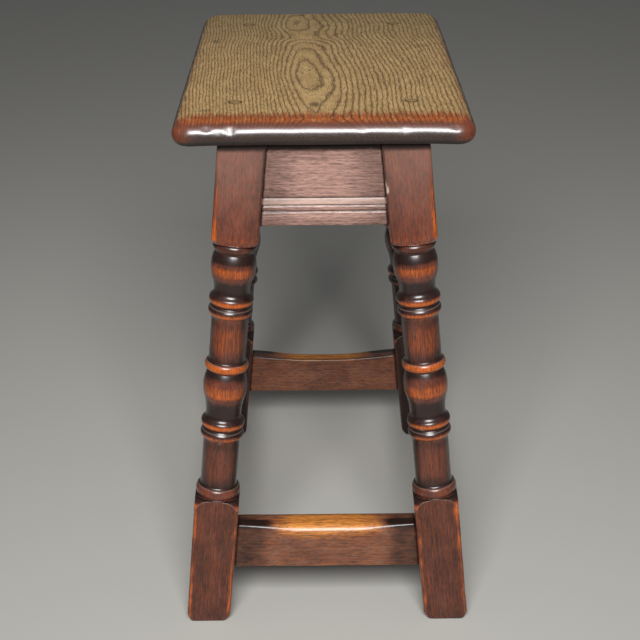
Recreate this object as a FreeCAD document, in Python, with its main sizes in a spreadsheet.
# A joined stool in oak: a moulded seat board on four turned legs that splay to the sides, tied by
# four scratch-moulded rails under the seat and four stretchers near the floor. Every piece is a
# solid of its own. Rails and stretchers enter the legs with stub tenons, and pegs hold the seat and
# the joints of the two long sides.
#
# Frame: +Z up, the floor at zero, the seat's length along Y and its width along X, and the origin
# on the floor under the seat's middle. The front end is the one towards -Y. Lengths are in
# millimetres and angles in degrees.

import FreeCAD
import Part
import Sketcher

import math
import os
from collections import namedtuple

# The driving dimensions: name, value and what it measures.
SIZES = (
    # the seat board
    ("seat_length", 490, "seat, front end to back end"),
    ("seat_width", 274, "seat, side to side"),
    ("seat_thick", 24, "thickness of the seat board"),
    ("seat_top_round", 13.5, "rounding of the seat's upper edge"),
    ("seat_edge_flat", 2, "flat left between the roundings of the seat's edge"),
    ("seat_corner_extra", 2.5, "how far the corner's radius in plan exceeds the upper rounding"),
    ("seat_end_overhang", 14.5, "end of the seat to the end faces of the legs"),
    ("seat_side_overhang", 40.75, "side of the seat to a leg's axis, beyond half a leg"),
    # the frame as a whole
    ("frame_height", 506.5, "floor to the underside of the seat"),
    ("leg_square", 44.5, "side of the square stuff that a leg is turned from"),
    ("leg_splay", 5.41, "lean of the legs to the sides, in degrees"),
    ("leg_arris", 3, "rounding of a leg's square corners"),
    ("leg_sole_round", 4, "rounding round the sole of a foot"),
    # the blocks that stay square, with lengths along the leg
    ("block_low_top", 138.6, "sole to the top of the foot block"),
    ("block_low_taper", 24, "length over which its corners are turned away"),
    ("block_low_bulge", 1.4, "how far that turned shoulder swells"),
    ("block_low_cut", 0.35, "face of the leg to the top of that shoulder"),
    ("block_high_length", 103.4, "seat to the underside of the upper block"),
    ("block_high_taper", 16, "length over which its corners are turned away"),
    ("block_high_bulge", 2.2, "how far that turned shoulder swells"),
    ("block_high_proud", 2.75, "how far the flat ledge under it passes the leg's faces"),
    # the turned members between them, with depths measured in from the faces of the leg
    ("collar_gap", 1.6, "top of the foot block to the collar"),
    ("collar_width", 10.4, "width of the collar"),
    ("collar_proud", 0.15, "how far the collar would pass the faces that flatten it"),
    ("collar_rise", 1.8, "how far the collar rises from its edges"),
    ("cove_rise", 2.6, "length of the little cove between collar and column"),
    ("cove_hollow", 0.53, "depth of that cove"),
    ("column_cut", 4.05, "depth of the plain columns"),
    ("ring_width", 7.4, "width of a ring"),
    ("ring_cut", 0.65, "depth of a ring's crest"),
    ("ring_rise", 1.4, "how far a ring rises from its edges"),
    ("ring_shoulder", 1.7, "length of the slope between a ring and what lies beside it"),
    ("groove_gap", 4.3, "distance between the rings of a pair"),
    ("groove_depth", 1.6, "depth of the groove between them, from their edges"),
    ("belly_cut", 0.45, "depth of a vase at its widest"),
    ("neck_cut", 4.75, "depth of a vase's neck"),
    ("flare_round", 7, "radius of the flare from the neck to its ring"),
    ("low_vase_fall", 3.9, "how far the low vase draws in above its belly"),
    ("high_vase_fall", 2.4, "how far the high vase draws in above its belly"),
    ("band_width", 6.4, "width of the band under the upper block"),
    ("band_cut", 1.35, "depth of that band's crest"),
    ("band_rise", 1.5, "how far the band rises from its edges"),
    ("band_gap", 1, "band to the underside of the upper block"),
    # how the length that these members leave is shared out; the middle column takes the rest
    ("low_column_share", 0.251, "length of the low column"),
    ("low_neck_share", 0.185, "low vase, from its ring to its belly"),
    ("low_shoulder_share", 0.093, "low vase, from its belly to its top"),
    ("high_neck_share", 0.157, "high vase, from its ring to its belly"),
    ("high_shoulder_share", 0.074, "high vase, from its belly to its top"),
    # how much of the curve from neck to belly belongs to the belly
    ("low_belly_share", 0.4, "in the low vase"),
    ("high_belly_share", 0.585, "in the high vase"),
    # the rails
    ("rail_height", 80, "height of a rail"),
    ("rail_thick", 22.5, "thickness of a rail"),
    ("rail_setback", 3.2, "outer face of a leg to the face of a rail"),
    ("bead_start", 10.4, "bottom of a rail to the lowest quirk of its moulding"),
    ("bead_low", 3.9, "width of the lowest bead"),
    ("bead_middle", 5.9, "width of the middle bead"),
    ("bead_high", 7, "width of the uppermost bead"),
    ("bead_depth", 1.7, "depth of the quirks between beads"),
    ("bead_sunk", 0.2, "face of the rail to the top of a bead"),
    ("quirk_slope", 0.6, "width of the slope at the outer quirks"),
    # the stretchers
    ("stretcher_rise", 58, "floor to the underside of a stretcher"),
    ("stretcher_height", 49, "height of a stretcher at its ends"),
    ("stretcher_thick", 22.5, "thickness of a stretcher"),
    ("end_wear", 4.5, "how far feet have worn the top of an end stretcher"),
    ("side_wear", 3.5, "how far feet have worn the top of a side stretcher"),
    ("stretcher_round", 3, "rounding of a stretcher's upper edges"),
    # the joints
    ("tenon_thick", 8, "thickness of a tenon"),
    ("tenon_root", 22.5, "how far the tenon of an end piece starts behind its shoulder"),
    ("rail_tenon_height", 56, "height of a rail's tenon"),
    ("rail_tenon_foot", 8, "bottom of a rail to the bottom of its tenon"),
    ("stretcher_tenon_height", 36, "height of a stretcher's tenon"),
    ("stretcher_tenon_foot", 5, "bottom of a stretcher to the bottom of its tenon"),
    ("tenon_clear", 0.75, "end of a tenon to the side of the tenon that it meets in the leg"),
    ("mortise_gap", 0.1, "clearance between a tenon and its mortise"),
    ("joint_peg", 8, "diameter of a peg through a joint"),
    ("joint_peg_inset", 10.5, "shoulder of a tenon to its pegs"),
    ("joint_peg_length", 32, "length of a peg through a joint"),
    ("rail_peg_low", 20, "bottom of a rail to its lower peg"),
    ("rail_peg_high", 52, "bottom of a rail to its upper peg"),
    ("stretcher_peg_rise", 23, "bottom of a stretcher to its peg"),
    ("seat_peg", 11, "diameter of a peg through the seat"),
    ("seat_peg_inset", 36.25, "axis of a leg to a seat peg, along the seat"),
    ("seat_peg_length", 52, "length of a peg through the seat"),
    ("peg_gap", 0.05, "clearance round a peg in its hole"),
    ("peg_chamfer", 0.8, "chamfer on the buried end of a peg"),
    # for cuts only
    ("overrun", 5, "how far a cut runs past what it cuts"),
)

# Lengths that follow from the driving dimensions, as expressions.
HALF_LEG = "Sizes.leg_square / 2"
MORTISE_THICK = "(Sizes.tenon_thick + 2 * Sizes.mortise_gap)"
LEAN = "tan(Sizes.leg_splay)"
UPRIGHT = "cos(Sizes.leg_splay)"
TOP_REACH = f"(Sizes.seat_width / 2 - {HALF_LEG} - Sizes.seat_side_overhang)"
END_REACH = f"(Sizes.seat_length / 2 - {HALF_LEG} - Sizes.seat_end_overhang)"
FOOT_REACH = f"({TOP_REACH} + Sizes.frame_height * {LEAN})"
LEG_LENGTH = f"(Sizes.frame_height / {UPRIGHT})"
RAIL_BOTTOM = "(Sizes.frame_height - Sizes.rail_height)"
RAIL_BOTTOM_ON_LEG = f"({RAIL_BOTTOM} / {UPRIGHT})"
STRETCHER_BOTTOM_ON_LEG = f"(Sizes.stretcher_rise / {UPRIGHT})"
RAIL_FACE = f"({HALF_LEG} - Sizes.rail_setback)"
RAIL_MIDDLE = f"({RAIL_FACE} - Sizes.rail_thick / 2)"
SIDE_SPAN = f"(2 * ({END_REACH} - {HALF_LEG}))"
SEAT_UNDER_ROUND = "Sizes.seat_thick - Sizes.seat_top_round - Sizes.seat_edge_flat"
SEAT_PEG_REACH = f"({END_REACH} - Sizes.seat_peg_inset)"
SEAT_HOLE_RADIUS = "Sizes.seat_peg / 2 + Sizes.peg_gap"
SEAT_PEG_BURIED = "(Sizes.seat_peg_length - Sizes.seat_thick)"
SEAT_PEG_SPREAD = f"({TOP_REACH} + {RAIL_MIDDLE} / {UPRIGHT})"

# Radii of the turning, and the length along a leg that its columns and vases share.
CORNER = f"({HALF_LEG} * sqrt(2))"
BLOCK_HIGH_BASE = f"({LEG_LENGTH} - Sizes.block_high_length)"
COLLAR_ROOT = f"({HALF_LEG} + Sizes.collar_proud - Sizes.collar_rise)"
COLUMN_RADIUS = f"({HALF_LEG} - Sizes.column_cut)"
RING_ROOT = f"({HALF_LEG} - Sizes.ring_cut - Sizes.ring_rise)"
GROOVE_RADIUS = f"({RING_ROOT} - Sizes.groove_depth)"
BELLY_RADIUS = f"({HALF_LEG} - Sizes.belly_cut)"
NECK_RADIUS = f"({HALF_LEG} - Sizes.neck_cut)"
BAND_ROOT = f"({HALF_LEG} - Sizes.band_cut - Sizes.band_rise)"
PAIR_WIDTH = "(2 * Sizes.ring_width + Sizes.groove_gap)"
COLLAR_MEMBERS = "(Sizes.collar_gap + Sizes.collar_width + Sizes.cove_rise)"
RING_MEMBERS = f"(2 * {PAIR_WIDTH} + Sizes.ring_width + 5 * Sizes.ring_shoulder)"
BAND_MEMBERS = "(Sizes.band_width + Sizes.band_gap)"
SHARED_LENGTH = (f"({BLOCK_HIGH_BASE} - Sizes.block_low_top"
                 f" - {COLLAR_MEMBERS} - {RING_MEMBERS} - {BAND_MEMBERS})")

# A tenon's height, length and place in its piece, and the pegs that cross it on the long sides.
Tenon = namedtuple("Tenon", "kind height length foot bottom bottom_on_leg middle pegs")
RAIL_TENON = Tenon(
    kind="rail",
    height="Sizes.rail_tenon_height",
    length=f"({HALF_LEG} + {RAIL_MIDDLE} - Sizes.tenon_thick / 2 - Sizes.tenon_clear)",
    foot="Sizes.rail_tenon_foot",
    bottom=RAIL_BOTTOM,
    bottom_on_leg=RAIL_BOTTOM_ON_LEG,
    middle=RAIL_MIDDLE,
    pegs={"lower": "Sizes.rail_peg_low", "upper": "Sizes.rail_peg_high"})
STRETCHER_TENON = Tenon(
    kind="stretcher",
    height="Sizes.stretcher_tenon_height",
    length=f"({HALF_LEG} - Sizes.tenon_thick / 2 - Sizes.tenon_clear)",
    foot="Sizes.stretcher_tenon_foot",
    bottom="Sizes.stretcher_rise",
    bottom_on_leg=STRETCHER_BOTTOM_ON_LEG,
    middle="0",
    pegs={"": "Sizes.stretcher_peg_rise"})

ENDS = {"front": -1, "back": 1}
SIDES = {"left": -1, "right": 1}

doc = FreeCAD.newDocument("joint_stool")
sizes = doc.addObject("Spreadsheet::Sheet", "Sizes")
for row, (alias, value, meaning) in enumerate(SIZES, start=1):
    sizes.set(f"A{row}", meaning)
    sizes.set(f"B{row}", str(value))
    sizes.setAlias(f"B{row}", alias)
doc.recompute()

finished = []


def worth(expression):
    """The number that an expression has now."""
    return float(sizes.evalExpression(expression))


def bind(item, **properties):
    """Ties properties of a document object to expressions of the sheet."""
    for name, expression in properties.items():
        item.setExpression(name, expression)
    return item


def place(item, x="0", y="0", z="0", yaw="0", pitch="0", then=None):
    """Ties an object's Placement to a position and two turns, and to a second position in that frame."""
    where = f"placement(vector({x}; {y}; {z}); rotation({yaw}; {pitch}; 0))"
    if then:
        where += " * placement(vector({}; {}; {}); rotation(0; 0; 0))".format(*then)
    item.setExpression("Placement", where)
    return item


def lean_with_leg(item, side, y="0", then=None):
    """Places an object in the leaning frame of one side: X outwards, Z up the leg, zero at its sole."""
    yaw = "0" if side > 0 else "180"
    return place(item, x=f"{side} * {FOOT_REACH}", y=y, yaw=yaw, pitch="-Sizes.leg_splay", then=then)


def body_named(name):
    body = doc.addObject("PartDesign::Body", name)
    body.Label = name
    return body


def origin_plane(body, role):
    return next(item for item in body.Origin.OriginFeatures if item.Role == role)


def outline(body, name, plane, steps):
    """A closed sketch outline, fixed by the sheet.

    A step is a corner, (x, y), reached by a straight line, or (x, y, radius, turn) reached by an arc
    of that radius, with turn 1 for an arc that runs anticlockwise and -1 for a clockwise one."""
    sketch = body.newObject("Sketcher::SketchObject", name)
    sketch.AttachmentSupport = (origin_plane(body, plane), [""])
    sketch.MapMode = "FlatFace"
    corners = [FreeCAD.Vector(worth(step[0]), worth(step[1]), 0) for step in steps]
    joins = []
    for number, step in enumerate(steps):
        start, end = corners[number - 1], corners[number]
        if len(step) == 2:
            sketch.addGeometry(Part.LineSegment(start, end), False)
            joins.append((1, 2))
            continue
        radius, turn = worth(step[2]), step[3]
        half = (end - start) * 0.5
        rise = math.sqrt(max(radius**2 - half.Length**2, 0))
        side = FreeCAD.Vector(-half.y, half.x, 0).normalize() * rise * turn
        centre = start + half + side
        first, last = (start, end) if turn > 0 else (end, start)
        angles = [math.atan2(point.y - centre.y, point.x - centre.x) for point in (first, last)]
        circle = Part.Circle(centre, FreeCAD.Vector(0, 0, 1), radius)
        sketch.addGeometry(Part.ArcOfCircle(circle, *angles), False)
        joins.append((1, 2) if turn > 0 else (2, 1))
    for number, (first, last) in enumerate(joins):
        before = (number or len(steps)) - 1
        sketch.addConstraint(Sketcher.Constraint("Coincident", before, joins[before][1], number, first))
    for number, step in enumerate(steps):
        spot = joins[number][1]
        for kind, expression, value in zip(("DistanceX", "DistanceY"), step, corners[number][:2]):
            index = sketch.addConstraint(Sketcher.Constraint(kind, -1, 1, number, spot, value))
            sketch.setExpression(f"Constraints[{index}]", expression)
        if len(step) > 2:
            index = sketch.addConstraint(Sketcher.Constraint("Radius", number, worth(step[2])))
            sketch.setExpression(f"Constraints[{index}]", step[2])
    return sketch


def bow(chord, rise):
    """The radius of an arc over a chord that rises so far at its middle."""
    return f"((({chord}) / 2)^2 + ({rise})^2) / (2 * ({rise}))"


def slant_bow(one_radius, other_radius, length, rise):
    """The radius of an arc that rises so far over a chord between two radii, so long apart."""
    return bow(f"sqrt(({one_radius} - ({other_radius}))^2 + ({length})^2)", rise)


def pad(body, name, sketch, length):
    item = body.newObject("PartDesign::Pad", name)
    item.Profile = sketch
    item.Midplane = True
    return bind(item, Length=length)


def rounded(body, name, base, radius, wanted):
    """Rounds the edges of the base that the test picks."""
    item = body.newObject("PartDesign::Fillet", name)
    item.Base = (base, edges_of(base, wanted))
    return bind(item, Radius=radius)


def edges_of(feature, wanted):
    """The names of a feature's edges that the test picks."""
    feature.recompute(True)
    return [f"Edge{number}" for number, edge in enumerate(feature.Shape.Edges, start=1) if wanted(edge)]


# Two heights or widths nearer than this, in millimetres, count as one.
ALIKE = 1e-6


def is_upright(edge):
    """Whether a straight edge of a blank runs straight up."""
    box = edge.BoundBox
    return box.XLength < ALIKE and box.YLength < ALIKE


def is_arc(edge):
    return edge.Curve.TypeId == "Part::GeomCircle"


def lies_at(edge, height):
    """Whether a whole edge lies at one height."""
    box = edge.BoundBox
    return abs(box.ZMin - height) < ALIKE and abs(box.ZMax - height) < ALIKE


# The seat board: a plank with its corners sawn round and its edge worked to a thumbnail.


def seat_board():
    body = body_named("seat_board")
    plank = body.newObject("PartDesign::AdditiveBox", "seat_plank")
    bind(plank, Length="Sizes.seat_width", Width="Sizes.seat_length", Height="Sizes.seat_thick")
    place(plank, x="-Sizes.seat_width / 2", y="-Sizes.seat_length / 2", z="Sizes.frame_height")
    corners = rounded(body, "seat_corners", plank, "Sizes.seat_top_round + Sizes.seat_corner_extra",
                      is_upright)
    top = worth("Sizes.frame_height + Sizes.seat_thick")
    bottom = worth("Sizes.frame_height")
    upper = rounded(body, "seat_upper_edge", corners, "Sizes.seat_top_round",
                    lambda edge: lies_at(edge, top))
    rounded(body, "seat_lower_edge", upper, SEAT_UNDER_ROUND, lambda edge: lies_at(edge, bottom))
    for end_name, end in ENDS.items():
        for side_name, side in SIDES.items():
            hole = body.newObject("PartDesign::SubtractiveCylinder", f"seat_hole_{end_name}_{side_name}")
            bind(hole, Radius=SEAT_HOLE_RADIUS, Height="Sizes.seat_thick + 2 * Sizes.overrun")
            place(hole, x=f"{side} * {SEAT_PEG_SPREAD}", y=f"{end} * {SEAT_PEG_REACH}",
                  z="Sizes.frame_height - Sizes.overrun")
    finished.append(body)


# The legs. Each is a square blank cut level at the seat and at the floor, then turned between its
# blocks, mortised on its two inner faces and bored for its pegs from the side.


def ring(foot, below, above):
    """The outline of one ring on its lower edge, from the radius below it to the radius above it."""
    head = f"{foot} + Sizes.ring_width"
    steps = [(RING_ROOT, foot), (RING_ROOT, head, bow("Sizes.ring_width", "Sizes.ring_rise"), 1)]
    if below:
        steps.insert(0, (below, f"{foot} - Sizes.ring_shoulder"))
    if above:
        steps.append((above, f"{head} + Sizes.ring_shoulder"))
    return steps


def ring_pair(foot):
    """The outline of two rings with a groove between them, from a column up to a vase."""
    groove = f"{foot} + Sizes.ring_width + Sizes.groove_gap / 2"
    return (ring(foot, COLUMN_RADIUS, None) + [(GROOVE_RADIUS, groove)]
            + ring(f"{foot} + Sizes.ring_width + Sizes.groove_gap", None, None))


def vase(foot, belly, top, belly_share, fall):
    """The outline of a vase: a flare up from its ring to the neck, the neck's hollow, and the belly."""
    reach = f"(Sizes.flare_round - {RING_ROOT} + {NECK_RADIUS})"
    neck = f"({foot} + sqrt(Sizes.flare_round^2 - {reach}^2))"
    swell = "(Sizes.neck_cut - Sizes.belly_cut)"
    climb = f"({belly} - {neck})"
    both_rounds = f"(({swell}^2 + {climb}^2) / (2 * {swell}))"
    return [
        (NECK_RADIUS, neck, "Sizes.flare_round", -1),
        (f"{BELLY_RADIUS} - {belly_share} * {swell}", f"{belly} - {belly_share} * {climb}",
         f"(1 - {belly_share}) * {both_rounds}", -1),
        (BELLY_RADIUS, belly, f"{belly_share} * {both_rounds}", 1),
        (f"{BELLY_RADIUS} - {fall}", top, f"({fall}^2 + ({top} - {belly})^2) / (2 * {fall})", 1),
    ]


def turned_waste():
    """What the lathe takes away between the two square blocks, as half a section from the foot up."""
    clear = f"{CORNER} + Sizes.overrun"
    block_foot = "Sizes.block_low_top - Sizes.block_low_taper"
    block_ledge = f"{HALF_LEG} - Sizes.block_low_cut"
    collar_foot = "(Sizes.block_low_top + Sizes.collar_gap)"
    collar_head = f"({collar_foot} + Sizes.collar_width)"
    column_foot = f"({collar_head} + Sizes.cove_rise)"
    low_pair = f"({column_foot} + Sizes.low_column_share * {SHARED_LENGTH} + Sizes.ring_shoulder)"
    low_vase = f"({low_pair} + {PAIR_WIDTH})"
    low_belly = f"({low_vase} + Sizes.low_neck_share * {SHARED_LENGTH})"
    low_vase_top = f"({low_belly} + Sizes.low_shoulder_share * {SHARED_LENGTH})"
    band_head = f"({BLOCK_HIGH_BASE} - Sizes.band_gap)"
    band_foot = f"({band_head} - Sizes.band_width)"
    high_vase_top = f"({band_foot} - Sizes.ring_shoulder)"
    high_belly = f"({high_vase_top} - Sizes.high_shoulder_share * {SHARED_LENGTH})"
    high_vase = f"({high_belly} - Sizes.high_neck_share * {SHARED_LENGTH})"
    high_pair = f"({high_vase} - {PAIR_WIDTH})"
    high_ledge = f"{HALF_LEG} + Sizes.block_high_proud"
    steps = [
        (clear, block_foot),
        (CORNER, block_foot),
        (block_ledge, "Sizes.block_low_top",
         slant_bow(CORNER, block_ledge, "Sizes.block_low_taper", "Sizes.block_low_bulge"), 1),
        (COLLAR_ROOT, "Sizes.block_low_top"),
        (COLLAR_ROOT, collar_foot),
        (COLLAR_ROOT, collar_head, bow("Sizes.collar_width", "Sizes.collar_rise"), 1),
        (COLUMN_RADIUS, column_foot,
         slant_bow(COLLAR_ROOT, COLUMN_RADIUS, "Sizes.cove_rise", "Sizes.cove_hollow"), -1),
    ]
    steps += ring_pair(low_pair)
    steps += vase(low_vase, low_belly, low_vase_top, "Sizes.low_belly_share", "Sizes.low_vase_fall")
    steps += ring(f"({low_vase_top} + Sizes.ring_shoulder)", None, COLUMN_RADIUS)
    steps += ring_pair(high_pair)
    steps += vase(high_vase, high_belly, high_vase_top, "Sizes.high_belly_share", "Sizes.high_vase_fall")
    steps += [
        (BAND_ROOT, band_foot),
        (BAND_ROOT, band_head, bow("Sizes.band_width", "Sizes.band_rise"), 1),
        (BAND_ROOT, BLOCK_HIGH_BASE),
        (high_ledge, BLOCK_HIGH_BASE),
        (CORNER, f"{BLOCK_HIGH_BASE} + Sizes.block_high_taper",
         slant_bow(CORNER, high_ledge, "Sizes.block_high_taper", "Sizes.block_high_bulge"), 1),
        (clear, f"{BLOCK_HIGH_BASE} + Sizes.block_high_taper"),
    ]
    return steps


def shoulder_reach(height):
    """Middle of the stool to the inner face of a leg, at a height above the floor."""
    return f"({FOOT_REACH} - ({height}) * {LEAN} - {HALF_LEG} / {UPRIGHT})"


def joint_peg_y(end):
    return f"{end} * ({END_REACH} - {HALF_LEG} + Sizes.joint_peg_inset)"


def point_in(item, side, y, height, proud="0"):
    """Lays a cylinder so that it points in from a leg's outer face, square to the leg."""
    yaw = "0" if side > 0 else "180"
    item.setExpression("Placement", (
        f"placement(vector({side} * {FOOT_REACH}; {y}; 0); rotation({yaw}; -Sizes.leg_splay; 0))"
        f" * placement(vector({HALF_LEG} + {proud}; 0; {height}); rotation(0; -90; 0))"))


def mortise_height(tenon):
    return f"{tenon.height} + 2 * Sizes.mortise_gap"


def end_mortise(name, tenon, end, side):
    """The level mortise for a piece that runs across the stool."""
    box = doc.addObject("Part::Box", f"{name}_{tenon.kind}_end_mortise")
    low = f"{tenon.bottom} + {tenon.foot}"
    mouth = f"({shoulder_reach(f'{low} + {tenon.height}')} - Sizes.overrun)"
    blind_end = f"({shoulder_reach(low)} + {tenon.length} + Sizes.mortise_gap)"
    bind(box, Length=f"{blind_end} - {mouth}", Width=MORTISE_THICK, Height=mortise_height(tenon))
    return place(box, x=mouth if side > 0 else f"-1 * {blind_end}",
                 y=f"{end} * ({END_REACH} + {tenon.middle}) - {MORTISE_THICK} / 2",
                 z=f"{low} - Sizes.mortise_gap")


def side_mortise(name, tenon, end, side):
    """The mortise for a piece that runs along one side and leans with the leg."""
    box = doc.addObject("Part::Box", f"{name}_{tenon.kind}_side_mortise")
    depth = f"({tenon.length} + Sizes.mortise_gap + Sizes.overrun)"
    mouth = f"({SIDE_SPAN} / 2 - Sizes.overrun)"
    bind(box, Length=MORTISE_THICK, Width=depth, Height=mortise_height(tenon))
    return lean_with_leg(box, side, then=(
        f"{tenon.middle} - {MORTISE_THICK} / 2",
        mouth if end * side > 0 else f"-1 * {mouth} - {depth}",
        f"{tenon.bottom_on_leg} + {tenon.foot} - Sizes.mortise_gap"))


def joint_peg_holes(name, tenon, end, side, proud="0"):
    """The holes for the pegs of one joint, from a leg's outer face inwards."""
    holes = []
    for level, rise in tenon.pegs.items():
        hole = doc.addObject("Part::Cylinder", f"{name}_{tenon.kind}_peg_hole_{level}")
        bind(hole, Radius="Sizes.joint_peg / 2 + Sizes.peg_gap", Height=f"Sizes.joint_peg_length + {proud}")
        point_in(hole, side, joint_peg_y(end), f"{tenon.bottom_on_leg} + {rise}", proud)
        holes.append(hole)
    return holes


def cut_from(name, body, tools):
    """The finished piece: a body with its mortises and holes cut out."""
    joined = doc.addObject("Part::MultiFuse", f"{name}_cuts")
    joined.Shapes = tools
    cut = doc.addObject("Part::Cut", name)
    cut.Label = name
    cut.Base = body
    cut.Tool = joined
    finished.append(cut)


def leg(end_name, end, side_name, side):
    name = f"leg_{end_name}_{side_name}"
    body = body_named(f"{name}_turned")
    level = f"{HALF_LEG} * {LEAN}"
    elevation = outline(body, f"{name}_elevation", "XZ_Plane", (
        (f"-{HALF_LEG}", level),
        (f"{HALF_LEG}", f"-{level}"),
        (f"{HALF_LEG}", f"{LEG_LENGTH} - {level}"),
        (f"-{HALF_LEG}", f"{LEG_LENGTH} + {level}"),
    ))
    blank = pad(body, f"{name}_blank", elevation, "Sizes.leg_square")
    arrises = rounded(body, f"{name}_arrises", blank, "Sizes.leg_arris", is_upright)
    sole_height = worth(level) + ALIKE
    rounded(body, f"{name}_sole", arrises, "Sizes.leg_sole_round",
            lambda edge: edge.BoundBox.ZMax < sole_height)
    turning = body.newObject("PartDesign::Groove", f"{name}_turning")
    turning.Profile = outline(body, f"{name}_waste", "XZ_Plane", turned_waste())
    turning.ReferenceAxis = (turning.Profile[0], ["V_Axis"])
    lean_with_leg(body, side, y=f"{end} * {END_REACH}")
    tools = []
    for tenon in (RAIL_TENON, STRETCHER_TENON):
        tools += [end_mortise(name, tenon, end, side), side_mortise(name, tenon, end, side)]
        tools += joint_peg_holes(name, tenon, end, side, proud="Sizes.overrun")
    cut_from(name, body, tools)


# The rails. Their outer faces carry three beads between quirks, struck with a scratch stock.


def moulding(face, bottom, outwards):
    """The beads from the lowest quirk up, on a face at one place of the sketch's first axis."""
    inwards = "-" if outwards > 0 else "+"
    quirk = f"{face} {inwards} Sizes.bead_depth"
    rise = "Sizes.bead_depth - Sizes.bead_sunk"
    height = f"{bottom} + Sizes.bead_start"
    steps = [(face, f"{height} - Sizes.quirk_slope"), (quirk, height)]
    for width in ("Sizes.bead_low", "Sizes.bead_middle", "Sizes.bead_high"):
        height = f"{height} + {width}"
        steps.append((quirk, height, bow(width, rise), outwards))
    steps.append((face, f"{height} + Sizes.quirk_slope"))
    return steps


def end_rail(end_name, end):
    name = f"end_rail_{end_name}"
    body = body_named(name)
    bottom, top = "0", "Sizes.rail_height"
    low = shoulder_reach(RAIL_BOTTOM)
    high = shoulder_reach("Sizes.frame_height")
    elevation = outline(body, f"{name}_elevation", "XZ_Plane", (
        (f"-1 * {low}", bottom), (low, bottom), (high, top), (f"-1 * {high}", top)))
    pad(body, f"{name}_board", elevation, "Sizes.rail_thick")
    face = "-Sizes.rail_thick / 2"
    clear = f"{face} - Sizes.overrun"
    beads = moulding(face, bottom, -1)
    waste = beads + [(clear, beads[-1][1]), (clear, beads[0][1])]
    scratch = body.newObject("PartDesign::Pocket", f"{name}_moulding")
    scratch.Profile = outline(body, f"{name}_beads", "YZ_Plane", waste)
    scratch.Midplane = True
    bind(scratch, Length=f"2 * {low} + 2 * Sizes.overrun")
    end_tenons(body, name, RAIL_TENON)
    yaw = "0" if end < 0 else "180"
    place(body, y=f"{end} * ({END_REACH} + {RAIL_MIDDLE})", z=RAIL_BOTTOM, yaw=yaw)
    finished.append(body)


def end_tenons(body, name, tenon):
    """Level tenons at both ends of a piece that runs across the stool, from behind its shoulders."""
    shoulder = shoulder_reach(f"{tenon.bottom} + {tenon.foot}")
    root = "Sizes.tenon_root"
    for side_name, side in SIDES.items():
        stub = body.newObject("PartDesign::AdditiveBox", f"{name}_tenon_{side_name}")
        bind(stub, Length=f"{tenon.length} + {root}", Width="Sizes.tenon_thick", Height=tenon.height)
        place(stub, x=f"{shoulder} - {root}" if side > 0 else f"-1 * {shoulder} - {tenon.length}",
              y="-Sizes.tenon_thick / 2", z=tenon.foot)


def side_tenons(body, name, tenon):
    """Tenons at both ends of a piece that runs along one side, as one bar through it."""
    bar = body.newObject("PartDesign::AdditiveBox", f"{name}_tenons")
    bind(bar, Length="Sizes.tenon_thick", Width=f"{SIDE_SPAN} + 2 * {tenon.length}", Height=tenon.height)
    place(bar, x=f"{tenon.middle} - Sizes.tenon_thick / 2", y=f"-{SIDE_SPAN} / 2 - {tenon.length}",
          z=f"{tenon.bottom_on_leg} + {tenon.foot}")


def side_peg_holes(name, tenon, side):
    holes = []
    for end_name, end in ENDS.items():
        holes += joint_peg_holes(f"{name}_{end_name}", tenon, end, side)
    return holes


def side_rail(side_name, side):
    name = f"side_rail_{side_name}"
    body = body_named(f"{name}_board")
    inner = f"{RAIL_FACE} - Sizes.rail_thick"
    bottom = RAIL_BOTTOM_ON_LEG
    section = outline(body, f"{name}_section", "XZ_Plane", tuple(
        [(inner, bottom), (RAIL_FACE, bottom)] + moulding(RAIL_FACE, bottom, 1) + [
            (RAIL_FACE, f"{LEG_LENGTH} - {RAIL_FACE} * {LEAN}"),
            (inner, f"{LEG_LENGTH} - ({inner}) * {LEAN}")]))
    pad(body, f"{name}_length", section, SIDE_SPAN)
    side_tenons(body, name, RAIL_TENON)
    lean_with_leg(body, side)
    holes = side_peg_holes(name, RAIL_TENON, side)
    for end_name, end in ENDS.items():
        hole = doc.addObject("Part::Cylinder", f"{name}_seat_peg_hole_{end_name}")
        bind(hole, Radius=SEAT_HOLE_RADIUS, Height=f"{SEAT_PEG_BURIED} + Sizes.overrun")
        place(hole, x=f"{side} * {SEAT_PEG_SPREAD}", y=f"{end} * {SEAT_PEG_REACH}",
              z=f"Sizes.frame_height - {SEAT_PEG_BURIED}")
        holes.append(hole)
    cut_from(name, body, holes)


# The stretchers, with tops that feet have worn hollow.


def end_stretcher(end_name, end):
    name = f"end_stretcher_{end_name}"
    body = body_named(name)
    top = "Sizes.stretcher_height"
    low = shoulder_reach("Sizes.stretcher_rise")
    high = shoulder_reach("(Sizes.stretcher_rise + Sizes.stretcher_height)")
    elevation = outline(body, f"{name}_elevation", "XZ_Plane", (
        (f"-1 * {low}", "0"), (low, "0"), (high, top),
        (f"-1 * {high}", top, bow(f"2 * {high}", "Sizes.end_wear"), -1)))
    board = pad(body, f"{name}_board", elevation, "Sizes.stretcher_thick")
    rounded(body, f"{name}_edges", board, "Sizes.stretcher_round", is_arc)
    end_tenons(body, name, STRETCHER_TENON)
    place(body, y=f"{end} * {END_REACH}", z="Sizes.stretcher_rise")
    finished.append(body)


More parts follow.
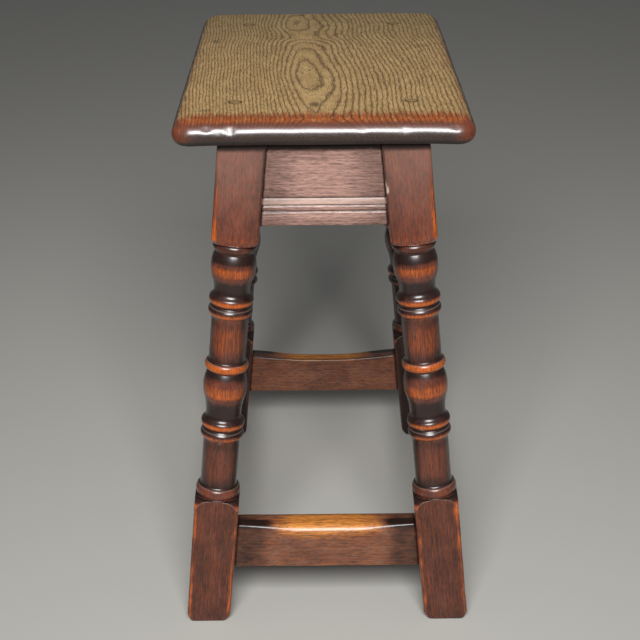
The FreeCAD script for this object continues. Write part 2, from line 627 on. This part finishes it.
def side_stretcher(side_name, side):
    name = f"side_stretcher_{side_name}"
    body = body_named(f"{name}_board")
    bottom = STRETCHER_BOTTOM_ON_LEG
    top = f"{bottom} + Sizes.stretcher_height"
    reach = f"{SIDE_SPAN} / 2"
    elevation = outline(body, f"{name}_elevation", "YZ_Plane", (
        (f"-1 * {reach}", bottom), (reach, bottom), (reach, top),
        (f"-1 * {reach}", top, bow(SIDE_SPAN, "Sizes.side_wear"), -1)))
    board = pad(body, f"{name}_length", elevation, "Sizes.stretcher_thick")
    rounded(body, f"{name}_edges", board, "Sizes.stretcher_round", is_arc)
    side_tenons(body, name, STRETCHER_TENON)
    lean_with_leg(body, side)
    cut_from(name, body, side_peg_holes(name, STRETCHER_TENON, side))


# The pegs: cleft oak, driven flush, with the buried end chamfered.


def peg(name, diameter, length):
    body = body_named(name)
    shank = body.newObject("PartDesign::AdditiveCylinder", f"{name}_shank")
    bind(shank, Radius=f"{diameter} / 2", Height=length)
    lead = body.newObject("PartDesign::Chamfer", f"{name}_lead")
    lead.Base = (shank, edges_of(shank, lambda edge: lies_at(edge, worth(length))))
    bind(lead, Size="Sizes.peg_chamfer")
    finished.append(body)
    return body


def pegs():
    for end_name, end in ENDS.items():
        for side_name, side in SIDES.items():
            corner = f"{end_name}_{side_name}"
            for tenon in (RAIL_TENON, STRETCHER_TENON):
                for level, rise in tenon.pegs.items():
                    name = f"{tenon.kind}_peg_{corner}_{level}".rstrip("_")
                    item = peg(name, "Sizes.joint_peg", "Sizes.joint_peg_length")
                    point_in(item, side, joint_peg_y(end), f"{tenon.bottom_on_leg} + {rise}")
            item = peg(f"seat_peg_{corner}", "Sizes.seat_peg", "Sizes.seat_peg_length")
            item.setExpression("Placement", (
                f"placement(vector({side} * {SEAT_PEG_SPREAD}; {end} * {SEAT_PEG_REACH};"
                " Sizes.frame_height + Sizes.seat_thick); rotation(0; 180; 0))"))


seat_board()
for end_name, end in ENDS.items():
    for side_name, side in SIDES.items():
        leg(end_name, end, side_name, side)
for end_name, end in ENDS.items():
    end_rail(end_name, end)
    end_stretcher(end_name, end)
for side_name, side in SIDES.items():
    side_rail(side_name, side)
    side_stretcher(side_name, side)
pegs()
doc.recompute()

# Nothing is written unless every object is sound.
for item in doc.Objects:
    if "Invalid" in item.State or "Error" in item.State:
        raise RuntimeError(f"{item.Name} failed: {item.State}")
for item in finished:
    shape = item.Shape
    if shape.isNull() or not shape.isValid() or len(shape.Solids) != 1:
        raise RuntimeError(f"{item.Label} is not one sound solid")

os.makedirs("parts", exist_ok=True)
for item in finished:
    item.Shape.exportStep(f"parts/{item.Label}.step")
    print(item.Label, round(item.Shape.Volume), "mm3")
